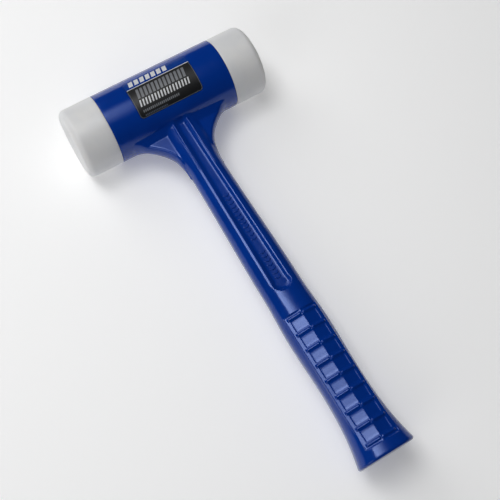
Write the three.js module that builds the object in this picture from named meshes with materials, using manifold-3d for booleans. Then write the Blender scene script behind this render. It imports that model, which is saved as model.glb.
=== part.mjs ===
// Dead blow mallet: a steel canister half full of shot, moulded into a one-piece jacket and handle,
// with two replaceable nylon faces that screw into the canister's caps.
//
// Units are millimetres, +Z is up. The mallet lies on its side on the plane z = 0: the head's axis
// runs along X, the handle points to -Y, and the label looks up. The origin is the bottom centre of
// the whole mallet's box. Shapes are worked out in the head's own frame (origin on the head's axis,
// at its middle), where a place down the handle is a depth d, measured along -Y.
import * as THREE from "three";
import { mergeVertices } from "three/addons/utils/BufferGeometryUtils.js";
import Module from "manifold-3d";

const wasm = await Module();
wasm.setup();

// ---------------------------------------------------------------- driving dimensions
// head
const HEAD_R = 30; // 60 mm face size
const JACKET_HALF = 54; // the blue part of the head is twice this long
const JACKET_WALL = 4.7;
const JACKET_END_R = 0.8; // rounding of the jacket's ends
const FACE_LENGTH = 30; // nylon that shows on each side
const FACE_EDGE_R = 5.5; // rounding of a striking face's rim
// handle: half-widths along X and half-thicknesses along Z, with the places where they hold
const HANDLE_LENGTH = 338; // from the head's axis to the butt
const NECK_BELOW_HEAD = 45;
const NECK_W = 14.8;
const NECK_COVER = 4; // moulding between the core's socket and the neck's face
const SHANK_TO_BUTT = 148;
const SHANK_W = 16.8;
const SHANK_T = 14;
const PALM_TO_BUTT = 108;
const PALM_W = 18.2;
const PALM_T = 16.2;
const WAIST_TO_BUTT = 63;
const WAIST_W = 17.2;
const WAIST_T = 16.6;
const BUTT_W = 24;
const BUTT_T = 20.5;
const BUTT_EDGE_R = 2;
const BUTT_CURVE = 2.4; // how late the butt's flare opens
const WEB_REACH = 41.8; // half-width of the webs where they meet the head's side
const WEB_CURVE = 2.8; // how fast the webs run out towards the neck
const NECK_SQUARENESS = 4.5; // exponents of the rounded section: 2 is an ellipse
const GRIP_SQUARENESS = 2.5;
// web pockets, beside the neck on both faces: corners as x and depth below the head's side
const POCKET = [[28.5, 4.4], [14.6, 3.0], [16.2, 27.5]];
const POCKET_FLOOR_Z = 7.4;
const POCKET_CORNER_R = 1.2;
// long recess down the shank, on both faces
const RECESS_TO_BUTT = 142.8;
const RECESS_START_HALF = 6.3; // at the rim, where it leaves the head
const RECESS_END_HALF = 8.4; // at the rim, at the round end
const RECESS_WALL = 3.6; // how far its wall slopes in, from the rim to the floor
const RECESS_DEPTH = 1.75; // below the rim
// grip pads, on both faces
const PADS_TO_BUTT = 120.6; // from the first rib's middle
const PAD_ROWS = 8;
const PAD_PITCH = 13.5;
const PAD_HALF = 11;
const PAD_DEPTH = 0.9;
const RIB_WIDTH = 3.2;
// label
const LABEL_HALF = 28.5;
const LABEL_FROM = -33; // degrees round the head from +Z, towards the handle
const LABEL_TO = 38.5;
const LABEL_THICK = 0.5;
const LABEL_SUNK = 0.1; // below the jacket's surface
// canister
const TUBE_WALL = 3;
const CAP_FLANGE = 2.9;
const CAP_PLUG = 11.3;
const CAP_EDGE = 1; // chamfer that leads the plug into the tube
const SEAL_SECTION_R = 1;
const SEAL_FROM_FLANGE = 5.3;
const CHARGE_LENGTH = 50;
const CHARGE_EDGE = 4;
const CHARGE_LEVEL = 8; // top of the shot above the head's axis
// face screws
const THREAD_PITCH = 2.5;
const THREAD_CREST_R = 9.7;
const THREAD_DEPTH = 1.3;
const THREAD_CLEARANCE = 0.45;
const STUD_IN_CAP = 11.9;
const STUD_SHANK_INSET = 0.3; // the plain shank is this much smaller than the thread
const STUD_SHANK = 4; // plain length between the face's back and the flange
const STUD_FLANGE_WIDTH = 4.3; // how far the flange stands out of the thread
const STUD_FLANGE = 4;
const STUD_NOSE = 6;
const WASHER_THICK = 1.5;
const WASHER_CLEARANCE = 0.8; // round the thread
// handle core
const CORE_R = 5.5;
const CORE_WALL = 2.5;
const CORE_TO_BUTT = 26;
const SADDLE_THICK = 3;
const SADDLE_HALF = 16;
const SADDLE_HALF_Z = 15;
const SOCKET_WALL = 2.2;
const SOCKET_BELOW_HEAD = 32;
const SOCKET_FLOOR = 3; // steel left between the saddle's plate and the core's end
const PIN_R = 2;
const UPPER_PIN_BELOW_HEAD = 16;
const LOWER_PIN_TO_CORE_END = 16;
const LOWER_PIN_HALF = 12;
const PLUG_HEAD = 3;
const PLUG_SPIGOT = 10;
// clearances and fineness
const GAP = 0.3; // between pieces that touch
const ROUND = 48; // sides of a full-size cylinder
const SMALL_ROUND = 16; // sides of the core's and the stud's cylinders
const SECTION_POINTS = 28;
const STEPS_PER_PITCH = 4;
const FINE_STEP = 5; // between the handle's rings, above and below the neck
const COARSE_STEP = 12;
const OVERSHOOT = 20; // how far a cutter runs past what it cuts

// ---------------------------------------------------------------- derived sizes
const JACKET_BORE_R = HEAD_R - JACKET_WALL;
const TUBE_R = JACKET_BORE_R - GAP;
const TUBE_BORE_R = TUBE_R - TUBE_WALL;
const PLUG_R = TUBE_BORE_R - GAP;
const FACE_BACK = JACKET_HALF + GAP;
const HEAD_HALF = JACKET_HALF + FACE_LENGTH;
const CAP_FACE = JACKET_HALF - WASHER_THICK - GAP;
const CAP_FLANGE_X = CAP_FACE - CAP_FLANGE;
const CAP_INNER = CAP_FLANGE_X - CAP_PLUG;
const TUBE_HALF = CAP_FLANGE_X - GAP;
const SEAL_X = CAP_FLANGE_X - SEAL_FROM_FLANGE;
const SEAL_R = PLUG_R - SEAL_SECTION_R; // radius of the seal's middle line
const THREAD_ROOT_R = THREAD_CREST_R - THREAD_DEPTH;
const STUD_TIP = CAP_FACE - STUD_IN_CAP;
const STUD_SHANK_R = THREAD_CREST_R - STUD_SHANK_INSET;
const STUD_FLANGE_R = THREAD_CREST_R + STUD_FLANGE_WIDTH;
const STUD_FLANGE_X = FACE_BACK + STUD_SHANK;
const STUD_NOSE_X = STUD_FLANGE_X + STUD_FLANGE;
const LABEL_R = HEAD_R - LABEL_SUNK;
const SOCKET_R = CORE_R + GAP + SOCKET_WALL;
const SOCKET_END = HEAD_R + SOCKET_BELOW_HEAD;
const CORE_START = JACKET_BORE_R + SADDLE_THICK + SOCKET_FLOOR;
const CORE_END = HANDLE_LENGTH - CORE_TO_BUTT;
const UPPER_PIN = { d: HEAD_R + UPPER_PIN_BELOW_HEAD, half: SOCKET_R - GAP };
const LOWER_PIN = { d: CORE_END - LOWER_PIN_TO_CORE_END, half: LOWER_PIN_HALF };
const STATIONS = [
  { d: HEAD_R + NECK_BELOW_HEAD, w: NECK_W, t: SOCKET_R + GAP + NECK_COVER },
  { d: HANDLE_LENGTH - SHANK_TO_BUTT, w: SHANK_W, t: SHANK_T },
  { d: HANDLE_LENGTH - PALM_TO_BUTT, w: PALM_W, t: PALM_T },
  { d: HANDLE_LENGTH - WAIST_TO_BUTT, w: WAIST_W, t: WAIST_T },
];
const NECK = STATIONS[0];
const WAIST = STATIONS[3];
const BUTT = { d: HANDLE_LENGTH, w: BUTT_W, t: BUTT_T };
const RECESS_END = HANDLE_LENGTH - RECESS_TO_BUTT;
const PAD_START = HANDLE_LENGTH - PADS_TO_BUTT;
const LENGTH = HEAD_R + HANDLE_LENGTH;
const HEAD_Y = LENGTH / 2 - HEAD_R;

// ---------------------------------------------------------------- solids from geometry
function solidOf(geometry) {
  const plain = geometry.index ? geometry.toNonIndexed() : geometry.clone();
  plain.deleteAttribute("normal");
  plain.deleteAttribute("uv");
  const merged = mergeVertices(plain, 1e-4);
  return new wasm.Manifold(new wasm.Mesh({
    numProp: 3,
    vertProperties: new Float32Array(merged.attributes.position.array),
    triVerts: new Uint32Array(merged.index.array),
  }));
}

function geometryOf(solid) {
  const mesh = solid.getMesh();
  const geometry = new THREE.BufferGeometry();
  geometry.setAttribute("position", new THREE.BufferAttribute(new Float32Array(mesh.vertProperties), 3));
  geometry.setIndex(new THREE.BufferAttribute(new Uint32Array(mesh.triVerts), 1));
  geometry.computeVertexNormals();
  return geometry;
}

// A turned solid about X from a profile of [x, radius] points, listed from low x to high x along its
// outside. A profile with a bore comes back along the inside; a solid one starts and ends on the axis.
function turned(profile, sides = ROUND) {
  const points = profile.map(([x, r]) => new THREE.Vector2(r, x));
  const geometry = new THREE.LatheGeometry(points, sides);
  geometry.rotateZ(-Math.PI / 2);
  return solidOf(geometry);
}

function rodX(radius, from, to, sides = ROUND) {
  return turned([[from, 0], [from, radius], [to, radius], [to, 0]], sides);
}

// The same rod along -Y, between two depths.
function rodDown(radius, from, to, sides = SMALL_ROUND) {
  const geometry = new THREE.CylinderGeometry(radius, radius, to - from, sides);
  geometry.translate(0, -(from + to) / 2, 0);
  return solidOf(geometry);
}

function box(x0, x1, y0, y1, z0, z1) {
  const geometry = new THREE.BoxGeometry(x1 - x0, y1 - y0, z1 - z0);
  geometry.translate((x0 + x1) / 2, (y0 + y1) / 2, (z0 + z1) / 2);
  return solidOf(geometry);
}

// A closed skin over rings of equally many points, each an array of Vector3, with flat ends.
function loft(rings) {
  const count = rings[0].length;
  const positions = rings.flat().flatMap((p) => [p.x, p.y, p.z]);
  const index = [];
  for (let i = 0; i + 1 < rings.length; i += 1) {
    for (let j = 0; j < count; j += 1) {
      const a = i * count + j;
      const b = i * count + (j + 1) % count;
      index.push(a, b, a + count, b, b + count, a + count);
    }
  }
  const last = (rings.length - 1) * count;
  for (let j = 1; j + 1 < count; j += 1) {
    index.push(0, j + 1, j);
    index.push(last, last + j, last + j + 1);
  }
  const geometry = new THREE.BufferGeometry();
  geometry.setAttribute("position", new THREE.Float32BufferAttribute(positions, 3));
  geometry.setIndex(index);
  return solidOf(geometry);
}

// ---------------------------------------------------------------- handle form
const smooth = (a, b, v) => THREE.MathUtils.smoothstep(v, a, b);
const blend = (a, b, f) => a + (b - a) * f;

// A half-size (w or t) at a depth: smooth blends between the stations, then the butt's power curve.
function halfSize(key, depth) {
  let value = NECK[key];
  for (let i = 0; i + 1 < STATIONS.length; i += 1) {
    const [here, next] = [STATIONS[i], STATIONS[i + 1]];
    value += (next[key] - here[key]) * smooth(here.d, next.d, depth);
  }
  const flare = Math.max(0, (depth - WAIST.d) / (BUTT.d - WAIST.d)) ** BUTT_CURVE;
  return value + (BUTT[key] - WAIST[key]) * flare;
}

function handleSection(depth) {
  const run = Math.max(0, (NECK.d - depth) / (NECK.d - HEAD_R));
  const web = (WEB_REACH - NECK_W) * run ** WEB_CURVE;
  const square = blend(NECK_SQUARENESS, GRIP_SQUARENESS, smooth(HEAD_R + 15, NECK.d + 35, depth));
  return { w: halfSize("w", depth) + web, t: halfSize("t", depth), square };
}

// One ring of the handle, shrunk by an inset: |x/w|^n + |z/t|^n = 1.
function handleRing(depth, inset = 0) {
  const { w, t, square } = handleSection(depth);
  const ring = [];
  for (let j = 0; j < SECTION_POINTS; j += 1) {
    const angle = (2 * Math.PI * j) / SECTION_POINTS;
    const c = Math.cos(angle);
    const s = Math.sin(angle);
    const x = (w - inset) * Math.sign(c) * Math.abs(c) ** (2 / square);
    const z = (t - inset) * Math.sign(s) * Math.abs(s) ** (2 / square);
    ring.push(new THREE.Vector3(x, -depth, z));
  }
  return ring;
}

function handleDepths(from, to) {
  const depths = [];
  for (let depth = from; depth < to; depth += depth < NECK.d ? FINE_STEP : COARSE_STEP) {
    depths.push(depth);
  }
  return depths;
}

function handleForm(inset = 0) {
  const rings = handleDepths(HEAD_R - 6, BUTT.d - BUTT_EDGE_R - 2).map((d) => handleRing(d, inset));
  for (const turn of [0, Math.PI / 4, Math.PI / 2]) {
    const depth = BUTT.d - BUTT_EDGE_R * (1 - Math.sin(turn));
    rings.push(handleRing(depth, inset + BUTT_EDGE_R * (1 - Math.cos(turn))));
  }
  return loft(rings);
}

// ---------------------------------------------------------------- cutters for the moulding
// The height of the handle's face above its middle plane, at a place across it.
function faceHeight(depth, x) {
  const { w, t, square } = handleSection(depth);
  return t * (1 - (Math.abs(x) / w) ** square) ** (1 / square);
}

// The shank's recess: a channel with sloping walls whose rim follows the handle's face. It runs out
// through the head's side, widens down the shank and closes in a half circle at its lower end.
function recessCutter() {
  const above = 4;
  const slope = RECESS_WALL / RECESS_DEPTH;
  const straightEnd = RECESS_END - RECESS_END_HALF;
  const depths = handleDepths(HEAD_R - 12, straightEnd);
  const turns = 5;
  for (let i = 0; i < turns; i += 1) {
    depths.push(straightEnd + RECESS_END_HALF * Math.sin((i / turns) * (Math.PI / 2)));
  }
  return loft(depths.map((depth) => {
    const past = Math.max(0, depth - straightEnd) / RECESS_END_HALF;
    const narrowing = Math.sqrt(1 - past ** 2);
    const way = (depth - HEAD_R) / (RECESS_END - HEAD_R);
    const rimHalf = blend(RECESS_START_HALF, RECESS_END_HALF, way) * narrowing;
    const rim = faceHeight(depth, rimHalf);
    const floor = rim - RECESS_DEPTH * narrowing;
    const floorHalf = rimHalf - RECESS_WALL * narrowing;
    const topHalf = rimHalf + slope * above;
    return [[floorHalf, floor], [topHalf, rim + above], [-topHalf, rim + above], [-floorHalf, floor]]
      .map(([x, z]) => new THREE.Vector3(x, -depth, z));
  }));
}

function pocketCutter() {
  const corners = POCKET.map(([x, below]) => new THREE.Vector2(x, -HEAD_R - below));
  const shape = new THREE.Shape();
  corners.forEach((corner, i) => {
    const before = corners[(i + 2) % 3].clone().sub(corner).setLength(POCKET_CORNER_R).add(corner);
    const after = corners[(i + 1) % 3].clone().sub(corner).setLength(POCKET_CORNER_R).add(corner);
    if (i === 0) {
      shape.moveTo(before.x, before.y);
    } else {
      shape.lineTo(before.x, before.y);
    }
    shape.quadraticCurveTo(corner.x, corner.y, after.x, after.y);
  });
  shape.closePath();
  const geometry = new THREE.ExtrudeGeometry(shape, {
    depth: OVERSHOOT,
    bevelEnabled: false,
    curveSegments: 3,
  });
  geometry.translate(0, 0, POCKET_FLOOR_Z);
  return solidOf(geometry);
}

// What the pads take away: boxes between the ribs, less the handle's form sunk by the pads' depth.
function padCutter() {
  const sunk = handleForm(PAD_DEPTH);
  const pads = [];
  for (let i = 0; i < PAD_ROWS; i += 1) {
    const from = PAD_START + i * PAD_PITCH + RIB_WIDTH / 2;
    const to = from + PAD_PITCH - RIB_WIDTH;
    pads.push(box(-PAD_HALF, PAD_HALF, -to, -from, HEAD_R / 3, HEAD_R));
  }
  return wasm.Manifold.union(pads).subtract(sunk);
}

// A sector of a ring round the head's axis, for the label and its seat. Angles are from +Z towards -Y.
function labelSector(innerR, outerR, half, from, to) {
  const steps = 8;
  const ring = (r, reverse) => {
    const points = [];
    for (let i = 0; i <= steps; i += 1) {
      const angle = THREE.MathUtils.degToRad(blend(from, to, i / steps));
      points.push(new THREE.Vector2(-r * Math.sin(angle), r * Math.cos(angle)));
    }
    return reverse ? points.reverse() : points;
  };
  const shape = new THREE.Shape([...ring(outerR, false), ...ring(innerR, true)]);
  const geometry = new THREE.ExtrudeGeometry(shape, { depth: 2 * half, bevelEnabled: false });
  geometry.translate(0, 0, -half);
  // the sector is drawn as y, z and extruded; this turns its length onto X
  geometry.applyMatrix4(new THREE.Matrix4().set(0, 0, 1, 0, 1, 0, 0, 0, 0, 1, 0, 0, 0, 0, 0, 1));
  return solidOf(geometry);
}

function both(solid, normal) {
  return solid.add(solid.mirror(normal));
}

// ---------------------------------------------------------------- the moulding
function saddleForm(grow) {
  const ring = rodX(JACKET_BORE_R + SADDLE_THICK + grow, -SADDLE_HALF - grow, SADDLE_HALF + grow);
  const plate = ring.intersect(box(
    -OVERSHOOT, OVERSHOOT, -HEAD_R, -HEAD_R / 2, -SADDLE_HALF_Z - grow, SADDLE_HALF_Z + grow,
  ));
  const socket = rodDown(SOCKET_R + grow, JACKET_BORE_R - OVERSHOOT / 4, SOCKET_END + grow);
  return plate.add(socket);
}

function pinForm(pin, grow) {
  return rodX(PIN_R + grow, -pin.half - grow, pin.half + grow, SMALL_ROUND / 2);
}

function bodyMoulding() {
  const rim = JACKET_END_R;
  const jacket = turned([
    [-JACKET_HALF, 0], [-JACKET_HALF, HEAD_R - rim], [-JACKET_HALF + rim, HEAD_R],
    [JACKET_HALF - rim, HEAD_R], [JACKET_HALF, HEAD_R - rim], [JACKET_HALF, 0],
  ]);
  const recesses = both(recessCutter(), [0, 0, 1]);
  const pockets = both(both(pocketCutter(), [0, 0, 1]), [1, 0, 0]);
  const pads = both(padCutter(), [0, 0, 1]);
  const labelSeat = labelSector(
    LABEL_R - LABEL_THICK - GAP, HEAD_R + 2, LABEL_HALF + GAP,
    LABEL_FROM - THREE.MathUtils.radToDeg(GAP / HEAD_R),
    LABEL_TO + THREE.MathUtils.radToDeg(GAP / HEAD_R),
  );
  const hollow = wasm.Manifold.union([
    rodX(JACKET_BORE_R, -JACKET_HALF - OVERSHOOT, JACKET_HALF + OVERSHOOT),
    saddleForm(GAP),
    rodDown(CORE_R + GAP, SOCKET_END - 1, CORE_END + GAP + PLUG_HEAD + GAP),
    pinForm(LOWER_PIN, GAP).translate([0, -LOWER_PIN.d, 0]),
  ]);
  const handle = handleForm().subtract(recesses).subtract(pockets).subtract(pads);
  return jacket.add(handle).subtract(labelSeat).subtract(hollow);
}

function label() {
  return labelSector(LABEL_R - LABEL_THICK, LABEL_R, LABEL_HALF, LABEL_FROM, LABEL_TO);
}

// ---------------------------------------------------------------- screw threads
// A right-hand thread about X as one skin: the radius at (angle, x) rises and falls with the phase
// x / pitch - angle / turn, flat at crest and root, and tapers to the root at its tip.
function threaded(from, to, grow) {
  const rings = [];
  const rows = Math.round(((to - from) / THREAD_PITCH) * STEPS_PER_PITCH);
  const middle = (THREAD_CREST_R + THREAD_ROOT_R) / 2;
  const swing = (THREAD_CREST_R - THREAD_ROOT_R) / 2;
  for (let i = 0; i <= rows; i += 1) {
    const x = blend(from, to, i / rows);
    const ring = [];
    for (let j = 0; j < SMALL_ROUND; j += 1) {
      const turn = j / SMALL_ROUND;
      const wave = Math.cos(2 * Math.PI * (x / THREAD_PITCH - turn));
      const r = middle + swing * wave + grow;
      // turn runs from +Y towards +Z, which is the right-hand way about +X
      ring.push(new THREE.Vector3(x, r * Math.cos(2 * Math.PI * turn), r * Math.sin(2 * Math.PI * turn)));
    }
    rings.push(ring);
  }
  return loft(rings);
}

// ---------------------------------------------------------------- canister
function canisterTube() {
  return rodX(TUBE_R, -TUBE_HALF, TUBE_HALF).subtract(rodX(TUBE_BORE_R, -HEAD_HALF, HEAD_HALF));
}

function canisterCap() {
  const grooveR = SEAL_R - SEAL_SECTION_R - GAP;
  const grooveHalf = SEAL_SECTION_R + GAP;
  const blank = turned([
    [CAP_INNER, 0], [CAP_INNER, PLUG_R - CAP_EDGE], [CAP_INNER + CAP_EDGE, PLUG_R],
    [SEAL_X - grooveHalf, PLUG_R], [SEAL_X - grooveHalf, grooveR],
    [SEAL_X + grooveHalf, grooveR], [SEAL_X + grooveHalf, PLUG_R],
    [CAP_FLANGE_X, PLUG_R], [CAP_FLANGE_X, TUBE_R], [CAP_FACE, TUBE_R], [CAP_FACE, 0],
  ]);
  return blank.subtract(threaded(STUD_TIP - GAP, CAP_FACE + THREAD_PITCH, THREAD_CLEARANCE));
}

function capSeal() {
  const geometry = new THREE.TorusGeometry(SEAL_R, SEAL_SECTION_R, 6, 32);
  geometry.rotateY(Math.PI / 2);
  geometry.translate(SEAL_X, 0, 0);
  return solidOf(geometry);
}

// The shot as one body: a rod that fits the canister, cut level at the height the shot fills it to.
function shotCharge() {
  const half = CHARGE_LENGTH / 2;
  const endR = PLUG_R - CHARGE_EDGE;
  const rod = turned([
    [-half, 0], [-half, endR], [-half + CHARGE_EDGE, PLUG_R],
    [half - CHARGE_EDGE, PLUG_R], [half, endR], [half, 0],
  ]);
  return rod.intersect(box(-half - 1, half + 1, -HEAD_R, HEAD_R, -HEAD_R, CHARGE_LEVEL));
}

// ---------------------------------------------------------------- screw-on faces
// The stud's part inside the nylon: a shank, a flange that keys it, and a nose.
function studAnchor(grow) {
  const start = FACE_BACK - 0.5;
  const end = STUD_NOSE_X + STUD_NOSE + grow;
  return turned([
    [start, 0], [start, STUD_SHANK_R + grow],
    [STUD_FLANGE_X - grow, STUD_SHANK_R + grow], [STUD_FLANGE_X - grow, STUD_FLANGE_R + grow],
    [STUD_NOSE_X + grow, STUD_FLANGE_R + grow], [STUD_NOSE_X + grow, STUD_SHANK_R + grow],
    [end, STUD_SHANK_R + grow], [end, 0],
  ], SMALL_ROUND);
}

function faceStud() {
  const chamfer = turned([
    [STUD_TIP, 0], [STUD_TIP, THREAD_ROOT_R], [STUD_TIP + THREAD_DEPTH, THREAD_CREST_R],
    [FACE_BACK, THREAD_CREST_R], [FACE_BACK, 0],
  ], SMALL_ROUND);
  return threaded(STUD_TIP, FACE_BACK, 0).intersect(chamfer).add(studAnchor(0));
}

function nylonFace() {
  const profile = [[FACE_BACK, 0], [FACE_BACK, HEAD_R]];
  const steps = 4;
  for (let i = 0; i <= steps; i += 1) {
    const angle = (i / steps) * (Math.PI / 2);
    profile.push([
      HEAD_HALF - FACE_EDGE_R * (1 - Math.sin(angle)),
      HEAD_R - FACE_EDGE_R * (1 - Math.cos(angle)),
    ]);
  }
  profile.push([HEAD_HALF, 0]);
  return turned(profile).subtract(studAnchor(GAP));
}

function faceWasher() {
  const from = CAP_FACE + GAP;
  return rodX(JACKET_BORE_R - 2 * GAP, from, from + WASHER_THICK, 48)
    .subtract(rodX(THREAD_CREST_R + WASHER_CLEARANCE, 0, HEAD_HALF, SMALL_ROUND));
}

// ---------------------------------------------------------------- handle core
function handleCore() {
  const tube = rodDown(CORE_R, CORE_START + GAP, CORE_END);
  const bore = rodDown(CORE_R - CORE_WALL, 0, BUTT.d, SMALL_ROUND / 2);
  return tube
    .subtract(bore)
    .subtract(pinForm(UPPER_PIN, GAP).translate([0, -UPPER_PIN.d, 0]))
    .subtract(pinForm(LOWER_PIN, GAP).translate([0, -LOWER_PIN.d, 0]));
}

function coreSaddle() {
  return saddleForm(0)
    .subtract(rodX(JACKET_BORE_R, -HEAD_HALF, HEAD_HALF))
    .subtract(rodDown(CORE_R + GAP, CORE_START, BUTT.d))
    .subtract(rodX(PIN_R + GAP, -HEAD_R, HEAD_R, SMALL_ROUND / 2).translate([0, -UPPER_PIN.d, 0]));
}

function corePin(pin) {
  return pinForm(pin, 0).translate([0, -pin.d, 0]);
}

function coreEndPlug() {
  const from = CORE_END + GAP;
  const spigotR = CORE_R - CORE_WALL - GAP;
  const spigot = rodDown(spigotR, CORE_END - PLUG_SPIGOT, from + 1, SMALL_ROUND / 2);
  return spigot.add(rodDown(CORE_R, from, from + PLUG_HEAD));
}

// ---------------------------------------------------------------- materials
const finish = (color, roughness, metalness) => new THREE.MeshStandardMaterial({ color, roughness, metalness });
const blueMoulding = () => finish(0x0a3a94, 0.28, 0);
const nylon = () => finish(0xe4e4e6, 0.45, 0);
const printedFilm = () => finish(0x1a1c1e, 0.4, 0);
const turnedSteel = () => finish(0x9a9ca0, 0.35, 1);
const tubeSteel = () => finish(0x7c7f84, 0.45, 1);
const shotSteel = () => finish(0x6a6d72, 0.4, 1);
const sealRubber = () => finish(0x1c1c1c, 0.8, 0);
const plugPlastic = () => finish(0x2a2a2a, 0.6, 0);

// ---------------------------------------------------------------- the assembly
const mallet = new THREE.Group();
const head = new THREE.Group();
head.position.set(0, HEAD_Y, HEAD_R);
mallet.add(head);

function place(parent, name, solid, material) {
  const mesh = new THREE.Mesh(geometryOf(solid), material);
  mesh.name = name;
  parent.add(mesh);
}

place(head, "body_moulding", bodyMoulding(), blueMoulding());
place(head, "label", label(), printedFilm());
place(head, "canister_tube", canisterTube(), tubeSteel());
place(head, "shot_charge", shotCharge(), shotSteel());
place(head, "handle_core", handleCore(), tubeSteel());
place(head, "core_saddle", coreSaddle(), tubeSteel());
place(head, "core_pin_upper", corePin(UPPER_PIN), turnedSteel());
place(head, "core_pin_lower", corePin(LOWER_PIN), turnedSteel());
place(head, "core_end_plug", coreEndPlug(), plugPlastic());

// Both ends of the head are the same pieces: the left end is the right one turned half round about Z,
// so both threads stay right-handed.
for (const [side, turn] of [["right", 0], ["left", Math.PI]]) {
  const end = new THREE.Group();
  end.rotation.z = turn;
  head.add(end);
  place(end, `canister_cap_${side}`, canisterCap(), turnedSteel());
  place(end, `cap_seal_${side}`, capSeal(), sealRubber());
  place(end, `face_${side}`, nylonFace(), nylon());
  place(end, `face_stud_${side}`, faceStud(), turnedSteel());
  place(end, `face_washer_${side}`, faceWasher(), turnedSteel());
}

export default mallet;
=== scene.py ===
"""Dead blow mallet: the looks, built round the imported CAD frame.

Shapes are numpy grids in the head's own frame, in millimetres: x along the head's axis, a depth
down the handle from that axis, and z above it. place() turns them into the row's frame in metres.
"""
import math

import bpy
import numpy as np
from mathutils import Matrix, Vector


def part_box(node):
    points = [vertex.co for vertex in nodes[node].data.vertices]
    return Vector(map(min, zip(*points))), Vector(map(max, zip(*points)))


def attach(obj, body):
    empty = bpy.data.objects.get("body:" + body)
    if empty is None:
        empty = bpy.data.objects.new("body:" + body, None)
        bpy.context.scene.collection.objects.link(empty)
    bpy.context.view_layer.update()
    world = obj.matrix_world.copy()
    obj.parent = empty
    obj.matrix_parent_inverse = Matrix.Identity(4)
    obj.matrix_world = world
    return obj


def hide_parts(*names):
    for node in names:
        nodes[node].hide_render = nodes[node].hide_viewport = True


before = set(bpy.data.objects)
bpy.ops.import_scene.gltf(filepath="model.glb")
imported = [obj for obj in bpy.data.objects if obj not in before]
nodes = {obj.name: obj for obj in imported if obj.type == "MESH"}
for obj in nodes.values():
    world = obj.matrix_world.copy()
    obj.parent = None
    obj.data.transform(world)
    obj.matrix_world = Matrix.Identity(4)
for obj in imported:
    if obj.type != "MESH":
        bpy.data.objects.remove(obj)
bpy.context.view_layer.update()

# ---- sizes taken from the frame
MM = 0.001


def box_mm(node):
    """Lowest and highest corner of a CAD node in millimetres."""
    low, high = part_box(node)
    return np.array(low) / MM, np.array(high) / MM


body_low, body_high = box_mm("body_moulding")
face_low, face_high = box_mm("face_right")
label_high = box_mm("label")[1]
cap_low, cap_high = box_mm("canister_cap_right")
tube_low, tube_high = box_mm("canister_tube")
stud_low, stud_high = box_mm("face_stud_right")
shot_low, shot_high = box_mm("shot_charge")

HEAD_R = (face_high[2] - face_low[2]) / 2
HEAD_Z = (face_high[2] + face_low[2]) / 2
HEAD_Y = (face_high[1] + face_low[1]) / 2
JACKET_HALF = body_high[0]
HEAD_HALF = face_high[0]
HANDLE_LENGTH = HEAD_Y - body_low[1]
TUBE_R = (tube_high[2] - tube_low[2]) / 2
FIT = 0.08  # play between pieces that touch
FAR = 99.0  # a height above the head's side that is past every fillet there

# ---- the handle's own sizes
# as the CAD model has them: half-width w along X and half-thickness t along Z at each depth
NECK = dict(depth=HEAD_R + 45, w=14.8, t=12.3)
SHANK = dict(depth=HANDLE_LENGTH - 148, w=16.8, t=14.0)
PALM = dict(depth=HANDLE_LENGTH - 108, w=18.2, t=16.2)
WAIST = dict(depth=HANDLE_LENGTH - 63, w=17.2, t=16.6)
BUTT = dict(depth=HANDLE_LENGTH, w=24.0, t=20.5)
STATIONS = (NECK, SHANK, PALM, WAIST)
BUTT_CURVE = 2.4
BUTT_EDGE_R = 2.0
NECK_WIDENING = 2.4  # extra half-width of the column where it stands on the webs
NECK_WIDE_TO = HEAD_R + 16
NECK_SLIM_FROM = NECK["depth"] - 3
NECK_SQUARENESS = 2.1
GRIP_SQUARENESS = 2.45
SQUARE_FROM = HEAD_R + 15  # from here to there the section changes from the neck's to the grip's
SQUARE_TO = NECK["depth"] + 35

# the webs: a flat plate each side of the column, flaring to the head
WEB_REACH = 41.8
WEB_CURVE = 2.8
WEB_HALF_THICKNESS = 7.4
WEB_DRAFT = 0.05  # how much the plate thins outwards, per millimetre
WEB_EDGE = 2.7  # width of the plate's rounded edge, seen from above
COLUMN_FILLET_R = 3.0
WEB_FILLET_R = 4.6
WEB_FILLET_ROUNDNESS = 1.2
WEB_TIP_FILLET_R = 2.6
WEB_FADE_FROM = HEAD_R + 24

# the shank's recess: its rim widens down the shank
RECESS_END = HANDLE_LENGTH - 142.8
RECESS_START_HALF = 6.0
RECESS_END_HALF = 8.4
RECESS_WALL = 3.6
RECESS_DEPTH = 1.75
RIM_SOFTNESS = 0.8  # how far the rim's and the floor's corners are rounded over
LAND_OUT = 1.4  # a flatter land runs along the rim, this far outside it
LAND_IN = 0.6  # and this far inside
LAND_SLOPE = 0.23
END_WALL_SHARE = 0.6  # how much of the wall's run is left at the round end
CUT_MARGIN = 4.0  # how far outside its rim the recess may still touch the face

# the grip's panel: two facets that meet in a ridge, with ribs across and sunk pads between them
RIBS_START = HANDLE_LENGTH - 120.6
RIB_COUNT = 9
RIB_PITCH = 13.5
RIBS_END = RIBS_START + (RIB_COUNT - 1) * RIB_PITCH
RIB_HALF = 1.75
RIB_HEIGHT = 0.9
RIB_INNER = 1.2
RIB_OUTER = 12.2
RIB_SOFTNESS = 0.7  # how far a rib's ends and the panel's ends are rounded over
PAD_OUTER = 10.9
PAD_DEPTH = 0.4
PAD_SOFTNESS = 0.8
PANEL_HALF = 14.3
PANEL_SOFTNESS = 0.5
PANEL_MARGIN = 2.6
FACET_SLOPE = 0.26  # how far a facet falls from the ridge, per millimetre

# the two ridges that carry the recess's rim on to the head
RIDGE_R = 1.55
RIDGE_ROUND = 1.7  # length of a ridge's half-round end
RIDGE_START = HEAD_R - 2.6
RIDGE_FULL = HEAD_R - 0.9  # from this depth on it has its full radius
RIDGE_OUT = 0.35  # outside the rim
RIDGE_RISE = 0.8  # height of its crest above the face, on the head
RIDGE_RISE_AT_NECK = 0.2


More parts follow.
